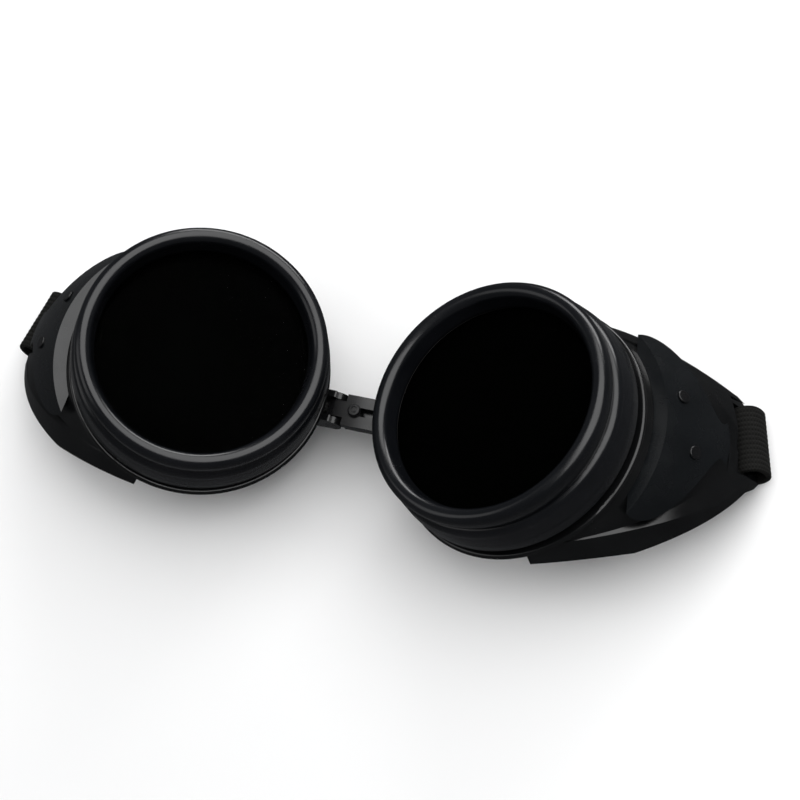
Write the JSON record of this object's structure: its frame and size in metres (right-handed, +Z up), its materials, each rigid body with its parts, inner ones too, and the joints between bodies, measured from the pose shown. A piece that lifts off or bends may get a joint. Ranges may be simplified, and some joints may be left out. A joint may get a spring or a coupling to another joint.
{
  "type": "cup welding goggles",
  "caption": "Cup-type eye protection with two round screw-ring lens holders, flared vented cups, an adjustable nose bridge and an elastic headband.",
  "frame": {"origin": "on the table, midway between the two cups and midway across the lens rings", "axes": "+X from the left cup to the right cup as seen from the lens side, +Y towards the brow, +Z up, out of the lenses"},
  "size_m": [0.1834, 0.0598, 0.0485],
  "materials": {
    "cup_plastic": "moulded, soft gloss",
    "ring_plastic": "moulded, gloss",
    "cover_plastic": "moulded, satin",
    "pin_plastic": "moulded, satin",
    "bridge_plastic": "moulded, satin",
    "stud_plastic": "moulded, satin",
    "slider_plastic": "moulded, matt",
    "washer_fibre": "matt",
    "gasket_rubber": "matt",
    "clear_glass": "polished",
    "filter_glass": "polished, shade 5 or darker",
    "elastic": "woven, ribbed along its length"
  },
  "bodies": {
    "right_cup": {"eyecup_right": "cup_plastic", "cover_lens_right": "clear_glass", "filter_lens_right": "filter_glass", "seat_gasket_right": "gasket_rubber", "vent_cover_right": "cover_plastic", "vent_pins_right": "pin_plastic", "headband_right": "elastic", "bridge_stud": "stud_plastic"},
    "right_washer": {"ring_washer_right": "washer_fibre"},
    "right_ring": {"retaining_ring_right": "ring_plastic"},
    "left_cup": {"eyecup_left": "cup_plastic", "cover_lens_left": "clear_glass", "filter_lens_left": "filter_glass", "seat_gasket_left": "gasket_rubber", "vent_cover_left": "cover_plastic", "vent_pins_left": "pin_plastic", "headband_left": "elastic"},
    "left_washer": {"ring_washer_left": "washer_fibre"},
    "left_ring": {"retaining_ring_left": "ring_plastic"},
    "bridge": {"bridge_strap": "bridge_plastic"},
    "slider": {"headband_slider": "slider_plastic"}
  },
  "joints": [
    {"name": "ring_lift_right", "type": "slide", "parent": "right_cup", "child": "right_washer", "axis": [-0.3206, 0, 0.9472], "range_m": [0, 0.0061]},
    {"name": "ring_turn_right", "type": "hinge", "parent": "right_washer", "child": "right_ring", "pos_m": [0.0329, 0, 0.0384], "axis": [-0.3206, 0, 0.9472], "range_deg": [0, 720]},
    {"name": "ring_lift_left", "type": "slide", "parent": "left_cup", "child": "left_washer", "axis": [0.3206, 0, 0.9472], "range_m": [0, 0.0061]},
    {"name": "ring_turn_left", "type": "hinge", "parent": "left_washer", "child": "left_ring", "pos_m": [-0.0329, 0, 0.0384], "axis": [0.3206, 0, 0.9472], "range_deg": [0, 720]},
    {"name": "nose_width", "type": "slide", "parent": "right_cup", "child": "bridge", "axis": [-1, 0, 0], "range_m": [0, 0.005], "deforming": ["headband_left"]},
    {"name": "bridge_fold", "type": "hinge", "parent": "bridge", "child": "left_cup", "pos_m": [-0.0078, 0, 0.0114], "axis": [0, 1, 0], "range_deg": [-45, 12], "deforming": ["headband_left"]},
    {"name": "slider_slide", "type": "slide", "parent": "right_cup", "child": "slider", "axis": [0.9558, 0.294, 0], "range_m": [0, 0.01]}
  ],
  "couplings": [
    {"joint": "ring_lift_right", "follows": "ring_turn_right", "m_per_rad": 0.00047746},
    {"joint": "ring_lift_left", "follows": "ring_turn_left", "m_per_rad": 0.00047746}
  ]
}
